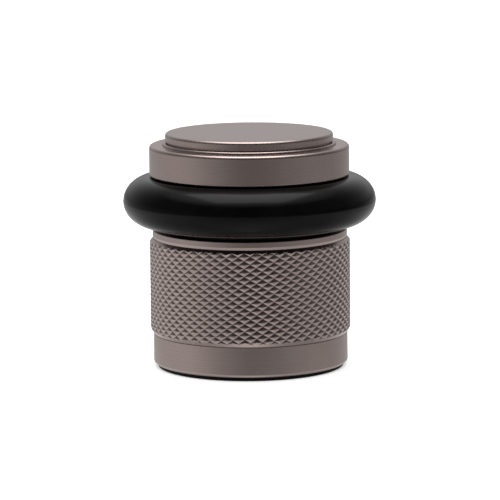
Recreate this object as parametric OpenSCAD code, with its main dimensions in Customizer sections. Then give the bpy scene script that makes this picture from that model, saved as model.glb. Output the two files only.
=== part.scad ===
// Floor door stop: a knurled post with a rubber buffer ring under a turned head.
// Everything is stacked on one central post and clamped by a bolt under a push-fit cap.
// Millimetres, +Z up, origin at the centre of the face that stands on the floor.

/* [Outside diameters] */
// Diameter over the knurled sleeve, which is the widest metal part
body_d = 40; // [36:0.5:44]
// How much smaller the plain bands above and below the sleeve are, on diameter
band_step = 1.2; // [0.8:0.1:2]
// Diameter of the head above the buffer ring
head_d = 39.8; // [36:0.1:44]
// Diameter over the rubber buffer ring
buffer_d = 50.4; // [47:0.1:54]
// Diameter of the thin lip that the cap sits on
lip_d = 34.6; // [32:0.1:35]
// Diameter of the cap
cap_d = 33.4; // [31:0.1:34]
// Depth of the shadow gap under the cap's edge
cap_gap_depth = 0.5; // [0.2:0.05:0.8]

/* [Heights from the floor up] */
// Edge of the rubber pad that shows under the base
pad_edge_h = 0.75; // [0.5:0.05:1.2]
// Plain band at the foot
base_h = 6.15; // [5.5:0.05:8]
// Knurled sleeve
sleeve_h = 19; // [14:0.5:26]
// Plain band between the sleeve and the buffer ring
neck_band_h = 1.75; // [1.5:0.05:4]
// Height of the groove that holds the buffer ring
groove_h = 10.7; // [10.2:0.05:11.5]
// Height of the buffer ring where it bulges out of the groove
buffer_h = 9.75; // [9:0.05:9.8]
// Head, up to its shoulder
head_h = 6.1; // [5.5:0.05:8]
// Lip under the cap
lip_h = 0.45; // [0.35:0.05:0.8]
// Cap above the lip
cap_h = 1.95; // [1.7:0.05:3]
// Height of the shadow gap under the cap's edge
cap_gap_h = 0.3; // [0.1:0.05:0.5]

/* [Core and fixings] */
// Bore of the knurled sleeve
sleeve_bore_d = 30; // [28:0.5:31]
// Diameter of the central post
post_d = 12; // [11:0.5:14]
// Width across the flats of the post's hexagonal foot
foot_af = 17; // [16:0.5:19]
// Tapping size of the thread for the floor stud
stud_thread_d = 6.8; // [5:0.1:8.5]
// Depth of the floor stud's thread
stud_thread_depth = 15; // [12:0.5:15]
// Diameter of the seat that the cap pushes into
cap_seat_d = 26; // [24:0.1:28]
// Number of locating pins between the base and the sleeve
pin_count = 3; // [2:1:6]

/* [Hidden] */
$fn = 96;

// Levels of the joints between the pieces, from the floor up.
base_z = pad_edge_h;
sleeve_z = base_z + base_h;
neck_z = sleeve_z + sleeve_h;
groove_z = neck_z + neck_band_h;
head_z = groove_z + groove_h;
lip_z = head_z + head_h;
cap_z = lip_z + lip_h;
top_z = cap_z + cap_h;

// Fits: radial gaps between pieces that slide together.
slide_gap = 0.05;
loose_gap = 0.1;

// Foot: pad, base and the post's hexagon.
foot_lead = 0.8;
foot_edge = 0.6;
band_r = (body_d - band_step) / 2;
pad_r = band_r - foot_lead;
pad_boss_r = 16.5;
pad_boss_h = 1;
pad_hole_r = 5;
pad_groove_w = 0.8;
pad_groove_depth = 0.35;
pad_groove_radii = [8, 12, 16];
foot_z = base_z + pad_boss_h;
foot_h = 2.5;

// Registers that centre the sleeve at both ends.
register_r = sleeve_bore_d / 2 - slide_gap;
register_h = 2.5;

// Neck and head.
groove_floor_r = 14.6;
head_spigot_r = 10.95;
head_spigot_h = 4;
bolt_seat_r = 8.5;
bolt_seat_z = head_z - 2;
cap_seat_z = head_z + 2.95;
bolt_hole_r = 3.3;

// Cap: a hollow spigot with a groove for its O-ring.
cap_edge_r = 0.55;
cap_spigot_r = cap_seat_d / 2 - loose_gap;
cap_spigot_h = 3;
cap_wall = 2.5;
cap_hollow_h = 0.5;
cap_rim_z = cap_z + cap_gap_h;
o_ring_section_r = 0.62;
o_ring_r = cap_seat_d / 2 - 0.03 - o_ring_section_r;
o_ring_z = cap_z - 1.5;
o_ring_groove_depth = 1.2;
o_ring_groove_h = 1.6;

// M6 low-head socket bolt with its two washers. Its thread is drawn plain, at the full diameter.
bolt_r = 3;
bolt_thread_r = bolt_r + 0.02;
bolt_length = 18;
bolt_head_r = 5;
bolt_head_h = 4;
bolt_socket_af = 4;
bolt_socket_depth = 2.4;
washer_t = 1.6;
flat_washer_r = 6;
flat_washer_bore_r = 3.2;
spring_washer_r = 5.9;
spring_washer_bore_r = 3.1;
spring_washer_angle = 350;
flat_washer_z = bolt_seat_z;
spring_washer_z = flat_washer_z + washer_t;
bolt_z = spring_washer_z + washer_t;

// Central post.
post_r = post_d / 2;
post_top_z = head_z - head_spigot_h - slide_gap * 10;
bolt_thread_depth = 14;
thread_lead = 0.6;

// Locating pins.
pin_r = 1.25;
pin_circle_r = 17.3;
pin_hole_r = pin_r + 0.02;
pin_hole_depth_base = 3.5;
pin_hole_depth_sleeve = 4.5;
pin_end_gap = 0.2;

// Edge breaks.
fine_edge = 0.2;
round_edge = 0.6;
lip_edge = 0.3;
neck_taper = 0.15;
neck_taper_h = 0.6;
knurl_lead_r = 0.6;
knurl_lead_h = 0.75;
arc_steps = 6;
buffer_steps = 44;

// Buffer ring: a foot that fills the groove, and the bulge just under the head.
buffer_foot_r = 18;
buffer_corner = 1;
buffer_head_gap = 0.15;

// Small amount that a cut runs past a face.
past = 1;

// Colours.
satin = [0.44, 0.40, 0.39];
black_rubber = [0.06, 0.06, 0.065];
zinc = [0.72, 0.72, 0.70];

// Points of an arc in the (radius, height) plane, from one angle to another.
function arc(centre, radius, from, to, steps = arc_steps) =
    [for (i = [0 : steps]) let (a = from + (to - from) * i / steps)
        [centre[0] + radius * cos(a), centre[1] + radius * sin(a)]];

// A solid of revolution from an outline in the (radius, height) plane.
module turned(outline) {
    rotate_extrude() polygon(outline);
}

// A turned disc with rounded outer edges, the lower and the upper of their own radius.
module disc(r, z, h, lower = fine_edge, upper = fine_edge) {
    turned(concat([[0, z]], arc([r - lower, z + lower], lower, -90, 0),
                  arc([r - upper, z + h - upper], upper, 0, 90), [[0, z + h]]));
}

// A straight hole or shaft along the axis.
module round_bar(r, z, h) {
    translate([0, 0, z]) cylinder(r = r, h = h);
}

// A tube along the axis.
module tube(r_out, r_in, z, h) {
    turned([[r_in, z], [r_out, z], [r_out, z + h], [r_in, z + h]]);
}

// A hexagonal bar along the axis, sized across its flats.
module hex_bar(af, z, h) {
    translate([0, 0, z]) cylinder(r = af / sqrt(3), h = h, $fn = 6);
}

// The ring of pin positions.
module at_pins() {
    for (i = [0 : pin_count - 1]) rotate([0, 0, 360 * i / pin_count]) translate([pin_circle_r, 0, 0]) children();
}

// Moulded rubber pad: a disc with a boss that locates it in the base, and shallow grip grooves underneath.
module base_pad() {
    color(black_rubber) difference() {
        union() {
            disc(pad_r, 0, pad_edge_h, fine_edge, fine_edge / 2);
            round_bar(pad_boss_r, pad_edge_h / 2, pad_edge_h / 2 + pad_boss_h);
        }
        round_bar(pad_hole_r, -past, foot_z + 2 * past);
        for (r = pad_groove_radii)
            tube(r + pad_groove_w / 2, r - pad_groove_w / 2, -past, past + pad_groove_depth);
    }
}

// Foot of the stop: a plain band, a register for the sleeve and a hexagonal pocket for the post.
module base_collar() {
    color(satin) difference() {
        union() {
            disc(band_r, base_z, base_h, foot_edge, fine_edge);
            round_bar(register_r, sleeve_z - past, past + register_h);
        }
        round_bar(pad_boss_r + slide_gap, base_z - past, past + pad_boss_h);
        hex_bar(foot_af + 2 * loose_gap, foot_z - past, past + foot_h);
        round_bar(post_r + loose_gap, foot_z, sleeve_z + register_h);
        at_pins() round_bar(pin_hole_r, sleeve_z - pin_hole_depth_base, pin_hole_depth_base + past);
    }
}

// Central post: a hexagonal foot that can't turn in the base, a thread for the floor stud and one for the bolt.
module core_post() {
    color(zinc) difference() {
        union() {
            hex_bar(foot_af, foot_z, foot_h);
            round_bar(post_r, foot_z, post_top_z - foot_z);
        }
        round_bar(stud_thread_d / 2, foot_z - past, past + stud_thread_depth);
        translate([0, 0, foot_z - thread_lead / 2])
            cylinder(r1 = stud_thread_d / 2 + 1.5 * thread_lead, r2 = stud_thread_d / 2, h = 1.5 * thread_lead);
        round_bar(bolt_thread_r, post_top_z - bolt_thread_depth, bolt_thread_depth + past);
    }
}

// Pins that carry the turning force from the sleeve to the base when the stop is screwed down by hand.
module locating_pins() {
    color(zinc) at_pins() round_bar(pin_r, sleeve_z - pin_hole_depth_base + pin_end_gap,
                                    pin_hole_depth_base + pin_hole_depth_sleeve - 2 * pin_end_gap);
}

// Sleeve, with the knurl's leads at both ends.
module knurled_sleeve() {
    r = body_d / 2;
    bore = sleeve_bore_d / 2;
    color(satin) difference() {
        turned([[bore, sleeve_z], [r - knurl_lead_r, sleeve_z], [r, sleeve_z + knurl_lead_h],
                [r, neck_z - knurl_lead_h], [r - knurl_lead_r, neck_z], [bore, neck_z]]);
        at_pins() round_bar(pin_hole_r, sleeve_z - past, past + pin_hole_depth_sleeve);
    }
}

// Collar above the sleeve: a register, the plain band and the neck that the buffer ring sits on.
module neck_collar() {
    color(satin) difference() {
        union() {
            turned(concat([[0, neck_z], [band_r - neck_taper, neck_z], [band_r, neck_z + neck_taper_h]],
                          arc([band_r - fine_edge, groove_z - fine_edge], fine_edge, 0, 90), [[0, groove_z]]));
            round_bar(register_r, neck_z - register_h, register_h + past);
            round_bar(groove_floor_r, groove_z - past, past + groove_h);
        }
        round_bar(post_r + loose_gap, neck_z - register_h - past, register_h + neck_band_h + groove_h + 2 * past);
        round_bar(head_spigot_r + slide_gap, head_z - head_spigot_h - 2 * loose_gap, head_spigot_h + past);
    }
}

// Rubber buffer: a foot that fills the groove and a half-elliptical bulge outside it.
module buffer_ring() {
    bore = groove_floor_r + slide_gap;
    low = groove_z + slide_gap;
    high = head_z - slide_gap;
    half = buffer_h / 2;
    centre_z = head_z - buffer_head_gap - half;
    bulge_r = band_r + band_step / 4;
    bulge = buffer_d / 2 - bulge_r;
    color(black_rubber) turned(concat(
        arc([bore + buffer_corner, low + buffer_corner], buffer_corner, 180, 270),
        [[buffer_foot_r, low], [buffer_foot_r, centre_z - half]],
        [for (i = [0 : buffer_steps]) let (a = -90 + 180 * i / buffer_steps)
            [bulge_r + bulge * cos(a), centre_z + half * sin(a)]],
        [[buffer_foot_r, centre_z + half], [buffer_foot_r, high]],
        arc([bore + buffer_corner, high - buffer_corner], buffer_corner, 90, 180)));
}

// Head: clamps the stack, with a seat for the bolt and its washers and a wider one for the cap.
module head_collar() {
    color(satin) difference() {
        union() {
            disc(head_d / 2, head_z, head_h, fine_edge * 2, round_edge);
            disc(lip_d / 2, lip_z - past, past + lip_h, fine_edge, lip_edge);
            round_bar(head_spigot_r, head_z - head_spigot_h, head_spigot_h + past);
        }
        round_bar(cap_seat_d / 2, cap_seat_z, top_z - cap_seat_z);
        round_bar(bolt_seat_r, bolt_seat_z, top_z - bolt_seat_z);
        round_bar(bolt_hole_r, head_z - head_spigot_h - past, head_spigot_h + 2 * past);
    }
}

// Flat washer under the spring washer.
module flat_washer() {
    color(zinc) tube(flat_washer_r, flat_washer_bore_r, flat_washer_z, washer_t);
}

// Split spring washer, shown flat as it is when the bolt is tight.
module spring_washer() {
    color(zinc) rotate_extrude(angle = spring_washer_angle)
        translate([spring_washer_bore_r, spring_washer_z])
            square([spring_washer_r - spring_washer_bore_r, washer_t]);
}

// Low-head socket bolt that holds the stack together.
module tie_bolt() {
    color(zinc) difference() {
        union() {
            disc(bolt_head_r, bolt_z, bolt_head_h, fine_edge, fine_edge * 2);
            round_bar(bolt_r, bolt_z - bolt_length, bolt_length + past);
        }
        hex_bar(bolt_socket_af, bolt_z + bolt_head_h - bolt_socket_depth, bolt_socket_depth + past);
    }
}

// Cap: a disc that rests on the lip, and a hollow spigot that pushes into the head.
module cap() {
    color(satin) difference() {
        union() {
            disc(cap_d / 2, cap_rim_z, cap_h - cap_gap_h, fine_edge / 2, cap_edge_r);
            round_bar(cap_d / 2 - cap_gap_depth, cap_z, cap_gap_h + past / 2);
            round_bar(cap_spigot_r, cap_z - cap_spigot_h, cap_spigot_h + past);
        }
        round_bar(cap_spigot_r - cap_wall, cap_z - cap_spigot_h - past, past + cap_spigot_h + cap_hollow_h);
        tube(cap_spigot_r + past, cap_spigot_r - o_ring_groove_depth, o_ring_z - o_ring_groove_h / 2,
             o_ring_groove_h);
    }
}

// O-ring that grips the seat and holds the cap down.
module cap_o_ring() {
    color(black_rubber) translate([0, 0, o_ring_z])
        rotate_extrude() translate([o_ring_r, 0]) circle(r = o_ring_section_r);
}

base_pad();
base_collar();
core_post();
locating_pins();
knurled_sleeve();
neck_collar();
buffer_ring();
head_collar();
flat_washer();
spring_washer();
tie_bolt();
cap();
cap_o_ring();
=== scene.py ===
"""Floor door stop: finishes, knurl, buffer ring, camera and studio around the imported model.

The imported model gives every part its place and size. This script dresses those parts, cuts the real
diamond knurl on the sleeve, moulds the buffer ring, and sets the stop in a plain studio.
Lengths inside the classes are in millimetres, and meshes are scaled to metres when they are finished.
"""

import logging
import math
from dataclasses import dataclass, field
from enum import Enum
from typing import Callable, Union

import bmesh
import bpy
from mathutils import Matrix, Vector


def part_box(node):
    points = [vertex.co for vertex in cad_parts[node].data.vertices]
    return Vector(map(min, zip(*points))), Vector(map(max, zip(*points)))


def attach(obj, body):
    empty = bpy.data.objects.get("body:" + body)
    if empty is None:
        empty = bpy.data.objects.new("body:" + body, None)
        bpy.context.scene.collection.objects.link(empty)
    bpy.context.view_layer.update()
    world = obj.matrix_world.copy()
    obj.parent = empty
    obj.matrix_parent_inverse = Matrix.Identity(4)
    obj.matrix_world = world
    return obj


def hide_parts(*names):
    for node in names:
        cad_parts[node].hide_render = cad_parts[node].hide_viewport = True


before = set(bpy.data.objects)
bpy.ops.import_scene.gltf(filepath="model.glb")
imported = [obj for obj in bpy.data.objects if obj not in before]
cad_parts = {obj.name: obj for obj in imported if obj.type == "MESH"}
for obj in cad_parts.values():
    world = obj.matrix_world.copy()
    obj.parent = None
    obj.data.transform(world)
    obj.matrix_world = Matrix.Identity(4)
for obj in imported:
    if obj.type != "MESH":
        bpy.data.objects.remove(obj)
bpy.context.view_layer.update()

LOG = logging.getLogger("door_stop")
MM = 0.001
TAU = 2.0 * math.pi
SEAM_MM = 1e-4

Colour = tuple[float, float, float]
Outline = list[tuple[float, float]]
Term = Union["Wire", float, tuple]


# ---------------------------------------------------------------- shader graphs


class Wire:
    """One output of a shader node. Arithmetic on it adds the Math nodes that it needs."""

    def __init__(self, graph: "Graph", socket: bpy.types.NodeSocket) -> None:
        """Keeps the graph and the socket.

        Args:
            graph: the graph that the socket belongs to.
            socket: the output socket.
        """
        self.graph = graph
        self.socket = socket

    def _maths(self, operation: str, *terms: Term) -> "Wire":
        """Adds one Math node.

        Args:
            operation: the Math node's operation.
            *terms: its inputs in order.

        Returns:
            The node's output.
        """
        return self.graph.node("Math", {"operation": operation}, dict(enumerate(terms)))

    def __add__(self, other: Term) -> "Wire":
        """Sum."""
        return self._maths("ADD", self, other)

    def __radd__(self, other: Term) -> "Wire":
        """Sum, with the wire on the right."""
        return self._maths("ADD", other, self)

    def __sub__(self, other: Term) -> "Wire":
        """Difference."""
        return self._maths("SUBTRACT", self, other)

    def __rsub__(self, other: Term) -> "Wire":
        """Difference, with the wire on the right."""
        return self._maths("SUBTRACT", other, self)

    def __mul__(self, other: Term) -> "Wire":
        """Product."""
        return self._maths("MULTIPLY", self, other)

    def __rmul__(self, other: Term) -> "Wire":
        """Product, with the wire on the right."""
        return self._maths("MULTIPLY", other, self)

    def __truediv__(self, other: Term) -> "Wire":
        """Quotient."""
        return self._maths("DIVIDE", self, other)

    def root(self) -> "Wire":
        """Square root."""
        return self._maths("SQRT", self)

    def most(self, other: Term) -> "Wire":
        """The larger of two values."""
        return self._maths("MAXIMUM", self, other)

    def ramp(self, low: float, high: float) -> "Wire":
        """Smooth step from zero at low to one at high.

        Args:
            low: the value that gives zero.
            high: the value that gives one.

        Returns:
            The stepped value.
        """
        return self.graph.node(
            "MapRange", {"interpolation_type": "SMOOTHSTEP"}, {0: self, 1: low, 2: high, 3: 0.0, 4: 1.0}
        )


class Graph:
    """A material's or the world's node tree, filled through one method."""

    def __init__(self, tree: bpy.types.NodeTree) -> None:
        """Empties the tree.

        Args:
            tree: the tree to fill.
        """
        tree.nodes.clear()
        self.tree = tree

    def node(
        self, kind: str, settings: dict | None = None, sockets: dict | None = None, out: int | str = 0
    ) -> Wire:
        """Adds a node.

        Args:
            kind: the node's type, without its ShaderNode prefix.
            settings: the node's own settings; "stops" fills a ramp with (place, colour) pairs.
            sockets: values or wires for its inputs, by name or number.
            out: the output that is wanted, by name or number.

        Returns:
            The wanted output.
        """
        made = self.tree.nodes.new("ShaderNode" + kind)
        for name, value in (settings or {}).items():
            if name == "stops":
                self._fill_ramp(made.color_ramp, value)
            else:
                setattr(made, name, value)
        for key, value in (sockets or {}).items():
            if isinstance(value, Wire):
                self.tree.links.new(value.socket, made.inputs[key])
            else:
                made.inputs[key].default_value = value
        outputs = made.outputs
        return Wire(self, outputs[out]) if len(outputs) else Wire(self, made.inputs[0])

    @staticmethod
    def _fill_ramp(ramp: bpy.types.ColorRamp, stops: list[tuple[float, Colour]]) -> None:
        """Gives a colour ramp its stops.

        Args:
            ramp: the ramp.
            stops: (place, colour) pairs in order.
        """
        while len(ramp.elements) < len(stops):
            ramp.elements.new(1.0)
        for element, (place, colour) in zip(ramp.elements, stops):
            element.position = place
            element.color = (*colour, 1.0)

    def place_mm(self) -> Wire:
        """The point on the surface, in millimetres, in the part's own frame."""
        at = self.node("TexCoord", out="Object")
        return self.node("VectorMath", {"operation": "SCALE"}, {0: at, "Scale": 1.0 / MM})

    def axes(self, vector: Wire) -> tuple[Wire, Wire, Wire]:
        """Splits a vector.

        Args:
            vector: the vector.

        Returns:
            Its X, Y and Z.
        """
        parts = self.node("SeparateXYZ", sockets={0: vector}).socket.node.outputs
        return tuple(Wire(self, part) for part in parts)

    def vector(self, x: Term, y: Term, z: Term) -> Wire:
        """Joins three values to a vector.

        Args:
            x: first value.
            y: second value.
            z: third value.

        Returns:
            The vector.
        """
        return self.node("CombineXYZ", sockets={0: x, 1: y, 2: z})

    def noise(self, at: Wire, scale: float, detail: float = 2.0, roughness: float = 0.5) -> Wire:
        """Smooth noise between zero and one.

        Args:
            at: where it is read.
            scale: features per unit of length.
            detail: octaves.
            roughness: how strong the finer octaves are.

        Returns:
            The noise value.
        """
        return self.node(
            "TexNoise", sockets={"Vector": at, "Scale": scale, "Detail": detail, "Roughness": roughness}
        )

    def blend(self, factor: Term, first: Term, second: Term) -> Wire:
        """Mixes two colours.

        Args:
            factor: zero for the first, one for the second.
            first: first colour.
            second: second colour.

        Returns:
            The mixed colour.
        """
        return self.node(
            "Mix", {"data_type": "RGBA"}, {0: factor, 6: rgba(first), 7: rgba(second)}, out=2
        )

    def bump(self, height: Wire, depth_mm: float) -> Wire:
        """A bumped normal.

        Args:
            height: height from zero to one.
            depth_mm: real height of the relief.

        Returns:
            The normal.
        """
        return self.node("Bump", sockets={"Strength": 1.0, "Distance": depth_mm * MM, "Height": height})

    def shader(self, sockets: dict) -> Wire:
        """Ends the graph in a Principled shader.

        Args:
            sockets: values or wires for the shader's inputs.

        Returns:
            The output node's input.
        """
        made = self.node("BsdfPrincipled", sockets=sockets)
        return self.node("OutputMaterial", sockets={"Surface": made})


def rgba(colour: Term) -> Term:
    """A colour with alpha where it is a plain triple.

    Args:
        colour: a wire or a triple.

    Returns:
        The wire as it is, or the triple with an alpha of one.
    """
    return colour if isinstance(colour, Wire) else (*colour, 1.0)


def new_material(name: str) -> tuple[bpy.types.Material, Graph]:
    """An empty material and its graph.

    Args:
        name: the material's name.

    Returns:
        The material and the graph to fill.
    """
    material = bpy.data.materials.new(name)
    material.use_nodes = True
    return material, Graph(material.node_tree)


# ---------------------------------------------------------------- finishes


class Lay(Enum):
    """Which way the tool marks of a metal finish run."""

    AROUND = "around the axis"
    BLASTED = "even, with no direction"


@dataclass(frozen=True)
class SatinPlate:
    """Warm grey satin plating over turned metal."""

    name: str
    tint: Colour = (0.410, 0.328, 0.308)
    worn_tint: Colour = (0.432, 0.348, 0.328)
    roughness: float = 0.27
    roughness_swing: float = 0.06
    anisotropy: float = 0.3
    lay: Lay = Lay.AROUND
    mark_pitch: float = 0.12
    mark_depth: float = 0.004
    mark_sweep: float = 0.35
    blast_scale: float = 9.0
    patch_scale: float = 0.22
    patch_swing: float = 0.03

    def build(self) -> bpy.types.Material:
        """Makes the material.

        Returns:
            The material.
        """
        material, graph = new_material(self.name)
        at = graph.place_mm()
        marks = self._turned_marks(graph, at) if self.lay is Lay.AROUND else self._blasted_marks(graph, at)
        patches = graph.noise(at, self.patch_scale, 3.0, 0.55)
        colour = graph.blend(patches.ramp(0.3, 0.75), self.tint, self.worn_tint)
        rough = self.roughness + (marks - 0.5) * self.roughness_swing + (patches - 0.5) * self.patch_swing
        graph.shader({
            "Base Color": colour,
            "Metallic": 1.0,
            "Roughness": rough,
            "Anisotropic": self.anisotropy,
            "Normal": graph.bump(marks, self.mark_depth),
        })
        return material

    def _turned_marks(self, graph: Graph, at: Wire) -> Wire:
        """Fine marks that run round the axis, as a lathe tool leaves them.

        Args:
            graph: the material's graph.
            at: the point in millimetres.

        Returns:
            Noise drawn out around the axis.
        """
        x, y, z = graph.axes(at)
        radius = (x * x + y * y).root()
        sweep = self.mark_sweep
        drawn_out = graph.vector(x / radius * sweep, y / radius * sweep, (z + radius) / self.mark_pitch)
        return graph.noise(drawn_out, 1.0, 3.0, 0.6)

    def _blasted_marks(self, graph: Graph, at: Wire) -> Wire:
        """An even fine grain.

        Args:
            graph: the material's graph.
            at: the point in millimetres.

        Returns:
            Noise with no direction.
        """
        return graph.noise(at, self.blast_scale, 3.0, 0.7)


@dataclass(frozen=True)
class MouldedRubber:
    """Black moulded rubber with a fine skin."""

    name: str
    tint: Colour = (0.0010, 0.0010, 0.0012)
    dust_tint: Colour = (0.0022, 0.0022, 0.0025)
    roughness: float = 0.17
    roughness_swing: float = 0.06
    grain_scale: float = 6.0
    grain_depth: float = 0.003
    grain_swing: float = 0.03
    cloud_scale: float = 0.18
    gloss: float = 0.13

    def build(self) -> bpy.types.Material:
        """Makes the material.

        Returns:
            The material.
        """
        material, graph = new_material(self.name)
        at = graph.place_mm()
        grain = graph.noise(at, self.grain_scale, 4.0, 0.6)
        cloud = graph.noise(at, self.cloud_scale, 3.0, 0.5)
        swing = (cloud - 0.5) * self.roughness_swing
        graph.shader({
            "Base Color": graph.blend(cloud.ramp(0.35, 0.8), self.tint, self.dust_tint),
            "Specular IOR Level": self.gloss,
            "Roughness": self.roughness + swing + (grain - 0.5) * self.grain_swing,
            "Normal": graph.bump(grain, self.grain_depth),
        })
        return material


@dataclass(frozen=True)
class PlainMetal:
    """Plated or blackened steel of the hidden fixings."""

    name: str
    tint: Colour
    roughness: float = 0.3
    roughness_swing: float = 0.15
    shade: float = 0.8
    cloud_scale: float = 0.6
    grain_scale: float = 5.0
    grain_depth: float = 0.004

    def build(self) -> bpy.types.Material:
        """Makes the material.

        Returns:
            The material.
        """
        material, graph = new_material(self.name)
        at = graph.place_mm()
        cloud = graph.noise(at, self.cloud_scale, 4.0, 0.6)
        grain = graph.noise(at, self.grain_scale, 3.0, 0.5)
        darker = tuple(self.shade * part for part in self.tint)
        graph.shader({
            "Base Color": graph.blend(cloud.ramp(0.3, 0.7), darker, self.tint),
            "Metallic": 1.0,
            "Roughness": self.roughness + (cloud - 0.5) * self.roughness_swing,
            "Normal": graph.bump(grain, self.grain_depth),
        })
        return material


# ---------------------------------------------------------------- modelling helpers


def pick_nothing() -> None:
    """Deselects every object."""
    bpy.ops.object.select_all(action="DESELECT")


def make_active(piece: bpy.types.Object) -> None:
    """Selects one object alone and makes it active.

    Args:
        piece: the object.
    """
    pick_nothing()
    piece.select_set(True)
    bpy.context.view_layer.objects.active = piece


def name_piece(piece: bpy.types.Object, name: str) -> bpy.types.Object:
    """Names an object and its mesh.

    Args:
        piece: the object.
        name: the name.

    Returns:
        The same object.
    """
    piece.name = name
    piece.data.name = name
    return piece


def apply_modifier(piece: bpy.types.Object, kind: str, settings: dict) -> None:
    """Adds a modifier and applies it.

    Args:
        piece: the object.
        kind: the modifier's type.
        settings: its settings.
    """
    make_active(piece)
    modifier = piece.modifiers.new(kind.lower(), kind)
    for name, value in settings.items():
        setattr(modifier, name, value)
    bpy.ops.object.modifier_apply(modifier=modifier.name)


def select_edges(piece: bpy.types.Object, wanted: Callable[[bmesh.types.BMEdge], bool]) -> None:
    """In edit mode, selects the edges that pass a test, and nothing else.

    Args:
        piece: the object, in edit mode.
        wanted: takes an edge and says whether it is wanted.
    """
    bpy.ops.mesh.select_mode(type="EDGE")
    bpy.ops.mesh.select_all(action="DESELECT")
    mesh = bmesh.from_edit_mesh(piece.data)
    for edge in mesh.edges:
        if wanted(edge):
            edge.select_set(True)
    mesh.select_flush_mode()
    bmesh.update_edit_mesh(piece.data)


def outline_piece(outline: Outline, name: str) -> bpy.types.Object:
    """A closed outline in the X-Z plane, started from a circle primitive.

    Args:
        outline: (radius, height) points in millimetres, in order.
        name: the object's name.

    Returns:
        The object, a wire loop.
    """
    pick_nothing()
    bpy.ops.mesh.primitive_circle_add(vertices=len(outline), radius=1.0, fill_type="NOTHING")
    piece = name_piece(bpy.context.active_object, name)
    for vertex, (radius, height) in zip(piece.data.vertices, outline):
        vertex.co = (radius, 0.0, height)
    return piece


def spin_outline(outline: Outline, name: str, steps: int) -> bpy.types.Object:
    """Turns a closed outline round the axis.

    Args:
        outline: (radius, height) points in millimetres, all off the axis.
        name: the object's name.
        steps: how many steps the full turn takes.

    Returns:
        The closed solid, in millimetres.
    """
    piece = outline_piece(outline, name)
    bpy.ops.object.mode_set(mode="EDIT")
    bpy.ops.mesh.select_all(action="SELECT")
    bpy.ops.mesh.spin(steps=steps, angle=TAU, center=(0, 0, 0), axis=(0, 0, 1))
    bpy.ops.mesh.select_all(action="SELECT")
    bpy.ops.mesh.remove_doubles(threshold=SEAM_MM)
    bpy.ops.mesh.normals_make_consistent(inside=False)
    bpy.ops.object.mode_set(mode="OBJECT")
    return piece


def to_metres(piece: bpy.types.Object) -> None:
    """Scales a mesh made in millimetres to metres.

    Args:
        piece: the object.
    """
    piece.data.transform(Matrix.Scale(MM, 4))


def smooth(piece: bpy.types.Object, degrees: float) -> None:
    """Smooth shading, with edges sharper than an angle kept.

    Args:
        piece: the object.
        degrees: the angle.
    """
    make_active(piece)
    bpy.ops.object.shade_smooth_by_angle(angle=math.radians(degrees))


def dress(piece: bpy.types.Object, material: bpy.types.Material) -> None:
    """Gives an object one material.

    Args:
        piece: the object.
        material: the material.
    """
    piece.data.materials.clear()
    piece.data.materials.append(material)


def arc(centre: tuple[float, float], radius: float, start: float, end: float, steps: int) -> Outline:
    """Points of an arc in the (radius, height) plane.

    Args:
        centre: the arc's centre.
        radius: its radius.
        start: first angle in degrees.
        end: last angle in degrees.
        steps: how many steps it takes.

    Returns:
        The points.
    """
    points = []
    for step in range(steps + 1):
        angle = math.radians(start + (end - start) * step / steps)
        points.append((centre[0] + radius * math.cos(angle), centre[1] + radius * math.sin(angle)))
    return points


def node_span(node: str) -> tuple[float, float, float]:
    """Where a turned CAD node is.

    Args:
        node: the node's name.

    Returns:
        Its outer radius, lowest height and highest height, in millimetres.
    """
    low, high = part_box(node)
    return (high.x - low.x) / 2 / MM, low.z / MM, high.z / MM


# ---------------------------------------------------------------- sub-assemblies


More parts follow.
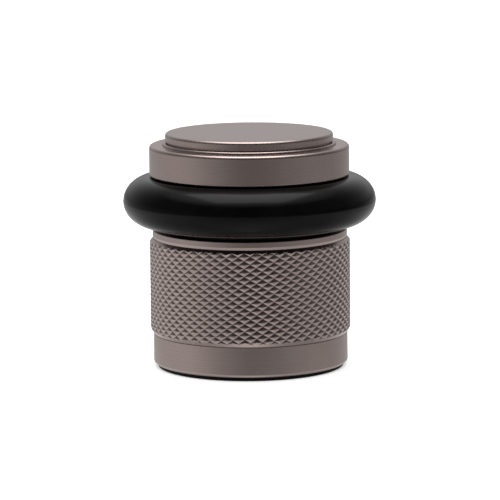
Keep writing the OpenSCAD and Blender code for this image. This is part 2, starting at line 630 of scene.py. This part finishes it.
@dataclass
class KnurledSleeve:
    """The grip: a tube with raised diamonds between two families of slanting V grooves.

    The two knurling wheels track at slightly different angles, so the families have different
    numbers of starts, and the diamonds lean a little.
    """

    finish: SatinPlate
    left_starts: int = 48
    right_starts: int = 58
    diamond_height: float = 1.551
    groove_depth: float = 0.24
    groove_run: float = 0.38
    edge_round: float = 0.03
    root_width: float = 0.04
    root_steps: tuple[tuple[float, float], ...] = ((0.05, 0.018),)
    smooth_angle: float = 30.0
    bore: float = 15.0
    chamfer_run: float = 0.6
    upper_chamfer_rise: float = 0.75
    lower_chamfer_rise: float = 0.95
    turn_steps: int = 240
    merge_distance: float = 1e-3
    closing_depth: float = 1.0

    def build(self) -> bpy.types.Object:
        """Models the sleeve and puts it in the CAD node's place.

        Returns:
            The finished object.
        """
        outer, low, high = node_span("knurled_sleeve")
        diamond = self._one_diamond(outer)
        skin = self._all_diamonds(diamond, low, high)
        self._close_inwards(skin, outer)
        blank = self._turned_blank(outer, low, high)
        apply_modifier(skin, "BOOLEAN", {"operation": "INTERSECT", "object": blank, "solver": "EXACT"})
        bpy.data.objects.remove(blank)
        to_metres(skin)
        smooth(skin, self.smooth_angle)
        dress(skin, self.finish.build())
        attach(skin, "stop")
        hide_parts("knurled_sleeve")
        return skin

    def _columns(self) -> int:
        """How many meridians the groove crossings lie on."""
        return self.left_starts + self.right_starts

    def _one_diamond(self, outer: float) -> bpy.types.Object:
        """Models one raised diamond, with its left corner at height zero.

        Args:
            outer: the sleeve's radius.

        Returns:
            The diamond, facing -Y, in millimetres.
        """
        root = outer - self.groove_depth
        step = TAU / self._columns()
        lean = self.left_starts / self._columns()
        pitch = self.diamond_height
        corners = [
            (-step, 0.0),
            (0.0, -lean * pitch),
            (step, (1.0 - 2.0 * lean) * pitch),
            (0.0, (1.0 - lean) * pitch),
        ]
        pick_nothing()
        bpy.ops.mesh.primitive_circle_add(vertices=4, radius=1.0, fill_type="NGON")
        piece = name_piece(bpy.context.active_object, "diamond")
        for vertex, (turn, height) in zip(piece.data.vertices, corners):
            vertex.co = (root * math.sin(turn), -root * math.cos(turn), height)
        bpy.ops.object.mode_set(mode="EDIT")
        bpy.ops.mesh.select_all(action="SELECT")
        bpy.ops.mesh.normals_make_consistent(inside=False)
        if piece.data.polygons[0].normal.y > 0.0:
            bpy.ops.mesh.flip_normals()
        bpy.ops.mesh.inset(thickness=self.root_width, depth=0.0, use_even_offset=True)
        for width, rise in self.root_steps:
            bpy.ops.mesh.inset(thickness=width, depth=rise, use_even_offset=True)
        rest = self.groove_depth - sum(rise for _, rise in self.root_steps)
        bpy.ops.mesh.inset(thickness=self.groove_run, depth=rest, use_even_offset=True)
        flat = outer - 0.5 * self.groove_depth
        select_edges(piece, lambda edge: all(corner.co.y < -flat for corner in edge.verts))
        bpy.ops.mesh.bevel(offset=self.edge_round, segments=2, affect="EDGES", clamp_overlap=True)
        bpy.ops.object.mode_set(mode="OBJECT")
        return piece

    def _all_diamonds(self, diamond: bpy.types.Object, low: float, high: float) -> bpy.types.Object:
        """Copies the diamond all round the sleeve and joins the copies.

        Args:
            diamond: the modelled diamond.
            low: the sleeve's lower end.
            high: the sleeve's upper end.

        Returns:
            The knurled skin, open at both ends.
        """
        pitch = self.diamond_height
        columns = self._columns()
        lean = self.left_starts / columns
        over = 1.2 * pitch
        copies = []
        for column in range(columns):
            turn = Matrix.Rotation(TAU * (column + 1) / columns, 4, "Z")
            drop = (column * lean) % 1.0 * pitch
            first = math.ceil((low - over + drop) / pitch)
            last = math.floor((high + over + drop) / pitch)
            for row in range(first, last + 1):
                copy = diamond.copy()
                copy.data = diamond.data.copy()
                copy.data.transform(turn @ Matrix.Translation((0.0, 0.0, row * pitch - drop)))
                bpy.context.collection.objects.link(copy)
                copies.append(copy)
        bpy.data.objects.remove(diamond)
        pick_nothing()
        for copy in copies:
            copy.select_set(True)
        bpy.context.view_layer.objects.active = copies[0]
        bpy.ops.object.join()
        skin = name_piece(bpy.context.active_object, "knurled_grip")
        bpy.ops.object.mode_set(mode="EDIT")
        bpy.ops.mesh.select_all(action="SELECT")
        bpy.ops.mesh.remove_doubles(threshold=self.merge_distance)
        bpy.ops.object.mode_set(mode="OBJECT")
        return skin

    def _close_inwards(self, skin: bpy.types.Object, outer: float) -> None:
        """Draws both open ends of the skin in past the bore and joins them, so that it holds a volume.

        Args:
            skin: the knurled skin.
            outer: the sleeve's radius.
        """
        make_active(skin)
        bpy.ops.object.mode_set(mode="EDIT")
        select_edges(skin, lambda edge: edge.is_boundary)
        bpy.ops.mesh.extrude_edges_move()
        inwards = (self.bore - self.closing_depth) / (outer - self.groove_depth)
        bpy.ops.transform.resize(value=(inwards, inwards, 1.0), center_override=(0, 0, 0))
        bpy.ops.mesh.bridge_edge_loops()
        bpy.ops.mesh.select_all(action="SELECT")
        bpy.ops.mesh.normals_make_consistent(inside=False)
        bpy.ops.object.mode_set(mode="OBJECT")

    def _turned_blank(self, outer: float, low: float, high: float) -> bpy.types.Object:
        """The plain turned tube that the knurl is cut on, with a chamfer at each end.

        Args:
            outer: the sleeve's radius.
            low: the sleeve's lower end.
            high: the sleeve's upper end.

        Returns:
            The tube, in millimetres.
        """
        outline = [
            (self.bore, low),
            (outer - self.chamfer_run, low),
            (outer, low + self.lower_chamfer_rise),
            (outer, high - self.upper_chamfer_rise),
            (outer - self.chamfer_run, high),
            (self.bore, high),
        ]
        return spin_outline(outline, "blank", self.turn_steps)


@dataclass
class BufferRing:
    """The moulded rubber ring that the door strikes, with its parting line."""

    finish: MouldedRubber
    bore: float = 14.65
    corner: float = 1.0
    foot_radius: float = 18.0
    bulge_radius: float = 19.7
    bulge_height: float = 9.75
    shoulder_gap: float = 0.1
    parting_height: float = 0.04
    corner_steps: int = 6
    profile_steps: int = 64
    turn_steps: int = 192
    smooth_angle: float = 40.0

    def build(self) -> bpy.types.Object:
        """Models the ring in the CAD node's place.

        Returns:
            The finished object.
        """
        ring = spin_outline(self._outline(), "buffer", self.turn_steps)
        to_metres(ring)
        smooth(ring, self.smooth_angle)
        dress(ring, self.finish.build())
        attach(ring, "buffer")
        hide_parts("buffer_ring")
        return ring

    def _outline(self) -> Outline:
        """The ring's section: a foot that fills the groove, and a bulge with a raised parting line.

        Returns:
            (radius, height) points in millimetres, from the foot's lower inner corner outwards and up.
        """
        outer, low, high = node_span("buffer_ring")
        half = self.bulge_height / 2
        middle = high - self.shoulder_gap - half
        bulge = outer - self.parting_height - self.bulge_radius
        inner = self.bore + self.corner
        outline = arc((inner, low + self.corner), self.corner, 180.0, 270.0, self.corner_steps)
        outline += [(self.foot_radius, low), (self.foot_radius, middle - half)]
        for step in range(self.profile_steps + 1):
            angle = math.radians(-90.0 + 180.0 * step / self.profile_steps)
            lift = self.parting_height if step == self.profile_steps // 2 else 0.0
            reach = self.bulge_radius + bulge * math.cos(angle) + lift
            outline.append((reach, middle + half * math.sin(angle)))
        outline += [(self.foot_radius, middle + half), (self.foot_radius, high)]
        outline += arc((inner, high - self.corner), self.corner, 90.0, 180.0, self.corner_steps)
        return outline


@dataclass
class TurnedParts:
    """The turned metal parts and the fixings, which keep their CAD shape and take a finish."""

    finishes: dict[str, bpy.types.Material] = field(default_factory=dict)

    def build(self) -> list[bpy.types.Object]:
        """Dresses each CAD node.

        Returns:
            The dressed objects.
        """
        dressed = []
        for node, finish in self.finishes.items():
            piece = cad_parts[node]
            dress(piece, finish)
            dressed.append(piece)
        return dressed


# ---------------------------------------------------------------- studio


class Side(Enum):
    """The four sides of the studio, as the sign and the axis they lie on."""

    FRONT = (-1.0, "y")
    RIGHT = (1.0, "x")
    LEFT = (-1.0, "x")
    BACK = (1.0, "y")


@dataclass(frozen=True)
class Wall:
    """How bright one side of the studio is, from the floor up to where the ceiling begins."""

    side: Side
    floor: float
    skirting: float
    horizon: float
    card: float
    cove: float


@dataclass
class Surroundings:
    """What the metal mirrors: a bright floor, dark cards at eye level and a bright ceiling."""

    walls: tuple[Wall, ...] = (
        Wall(Side.FRONT, floor=0.9, skirting=0.45, horizon=0.05, card=0.05, cove=1.2),
        Wall(Side.RIGHT, floor=0.4, skirting=0.8, horizon=0.05, card=0.15, cove=1.2),
        Wall(Side.LEFT, floor=0.5, skirting=1.0, horizon=0.3, card=0.15, cove=1.5),
        Wall(Side.BACK, floor=0.3, skirting=0.8, horizon=0.3, card=0.6, cove=0.6),
    )
    ceiling: float = 2.2
    floor_height: float = -55.0
    skirting_height: float = -20.0
    card_low: float = 10.0
    card_high: float = 42.0
    cove_height: float = 62.0
    ceiling_height: float = 82.0

    def build(self) -> None:
        """Fills the world."""
        world = bpy.data.worlds.new("studio")
        bpy.context.scene.world = world
        world.use_nodes = True
        graph = Graph(world.node_tree)
        x, y, z = graph.axes(graph.node("TexCoord", out="Generated"))
        across = {"x": x, "y": y}
        flat = (x * x + y * y).most(1e-6)
        level = 0.0
        for wall in self.walls:
            sign, axis = wall.side.value
            facing = (across[axis] * sign).most(0.0)
            share = facing * facing / flat
            shade = graph.node("ValToRGB", {"stops": self._stops(wall)}, {0: z * 0.5 + 0.5})
            level = share * shade * self.ceiling + level
        light = graph.node("Background", sockets={"Color": (1, 1, 1, 1), "Strength": level})
        graph.node("OutputWorld", sockets={"Surface": light})

    def _stops(self, wall: Wall) -> list[tuple[float, Colour]]:
        """Ramp stops of one wall, over the sine of the height.

        Args:
            wall: the wall.

        Returns:
            (place, colour) pairs, with the ceiling's brightness as white.
        """
        levels = (
            (self.floor_height, wall.floor),
            (self.skirting_height, wall.skirting),
            (0.0, wall.horizon),
            (self.card_low, wall.card),
            (self.card_high, wall.card),
            (self.cove_height, wall.cove),
            (self.ceiling_height, self.ceiling),
        )
        return [
            (0.5 + 0.5 * math.sin(math.radians(height)), (level / self.ceiling,) * 3)
            for height, level in levels
        ]


@dataclass
class Studio:
    """Pale floor and an overhead soft box in graded surroundings."""

    floor_tint: Colour = (0.97, 0.97, 0.97)
    floor_size: float = 40.0
    floor_roughness: float = 0.9
    box_size: float = 0.7
    box_height: float = 0.75
    box_power: float = 2.8
    floor_glow: float = 0.5

    def build(self) -> None:
        """Makes the floor, the surroundings and the light."""
        self._floor()
        Surroundings().build()
        self._soft_box()
        bpy.context.scene.view_settings.view_transform = "Standard"

    def _floor(self) -> None:
        """Makes the pale floor, which the metal doesn't mirror and which doesn't block light."""
        pick_nothing()
        bpy.ops.mesh.primitive_plane_add(size=self.floor_size, location=(0.0, 0.0, 0.0))
        floor = name_piece(bpy.context.active_object, "floor")
        material, graph = new_material("pale_floor")
        graph.shader({
            "Base Color": rgba(self.floor_tint),
            "Roughness": self.floor_roughness,
            "Specular IOR Level": 0.0,
            "Emission Color": (1.0, 1.0, 1.0, 1.0),
            "Emission Strength": self.floor_glow,
        })
        dress(floor, material)
        floor.visible_glossy = False
        floor.visible_shadow = False

    def _soft_box(self) -> None:
        """Makes the square soft box over the stop, facing down."""
        data = bpy.data.lights.new("box_top", "AREA")
        data.shape = "SQUARE"
        data.size = self.box_size
        data.energy = self.box_power
        light = bpy.data.objects.new("box_top", data)
        light.location = (0.0, 0.0, self.box_height)
        bpy.context.scene.collection.objects.link(light)


@dataclass
class Viewpoint:
    """The camera: a long lens, a little above the stop."""

    distance: float = 0.7107
    elevation: float = 8.81
    pivot_height: float = 0.02395
    aim_height: float = 0.0231
    lens: float = 256.4
    sensor: float = 36.0
    near_clip: float = 0.01
    roll: float = -0.504

    def build(self) -> bpy.types.Object:
        """Makes the camera.

        Returns:
            The camera.
        """
        data = bpy.data.cameras.new("camera")
        data.lens = self.lens
        data.sensor_width = self.sensor
        data.clip_start = self.near_clip
        camera = bpy.data.objects.new("camera", data)
        rise = math.radians(self.elevation)
        place = Vector((
            0.0,
            -self.distance * math.cos(rise),
            self.pivot_height + self.distance * math.sin(rise),
        ))
        aim = Vector((0.0, 0.0, self.aim_height)) - place
        turn = aim.to_track_quat("-Z", "Y").to_matrix().to_4x4()
        roll = Matrix.Rotation(math.radians(self.roll), 4, "Z")
        camera.matrix_world = Matrix.Translation(place) @ turn @ roll
        bpy.context.scene.collection.objects.link(camera)
        bpy.context.scene.camera = camera
        return camera


def main() -> None:
    """Builds the stop, the studio and the camera in order, and logs each piece."""
    logging.basicConfig(level=logging.INFO, format="%(name)s: %(message)s")
    knurl_plate = SatinPlate("knurl_plate", roughness=0.16, anisotropy=0.0, lay=Lay.BLASTED)
    cap_plate = SatinPlate("cap_plate", anisotropy=0.0, lay=Lay.BLASTED).build()
    satin = SatinPlate("satin_plate").build()
    foot_rubber = MouldedRubber("foot_rubber", roughness=0.6).build()
    zinc = PlainMetal("zinc_plate", (0.70, 0.70, 0.68)).build()
    black_oxide = PlainMetal("black_oxide", (0.05, 0.05, 0.055), 0.4).build()
    Viewpoint().build()
    Studio().build()
    parts = TurnedParts({
        "base_pad": foot_rubber,
        "base_collar": satin,
        "neck_collar": satin,
        "head_collar": satin,
        "cap": cap_plate,
        "cap_o_ring": foot_rubber,
        "core_post": zinc,
        "locating_pins": zinc,
        "flat_washer": zinc,
        "spring_washer": zinc,
        "tie_bolt": black_oxide,
    })
    for piece in parts.build():
        LOG.info("dressed %s", piece.name)
    for assembly in (KnurledSleeve(knurl_plate), BufferRing(MouldedRubber("ring_rubber"))):
        piece = assembly.build()
        LOG.info("modelled %s with %d faces", piece.name, len(piece.data.polygons))


if __name__ == "__main__":
    main()
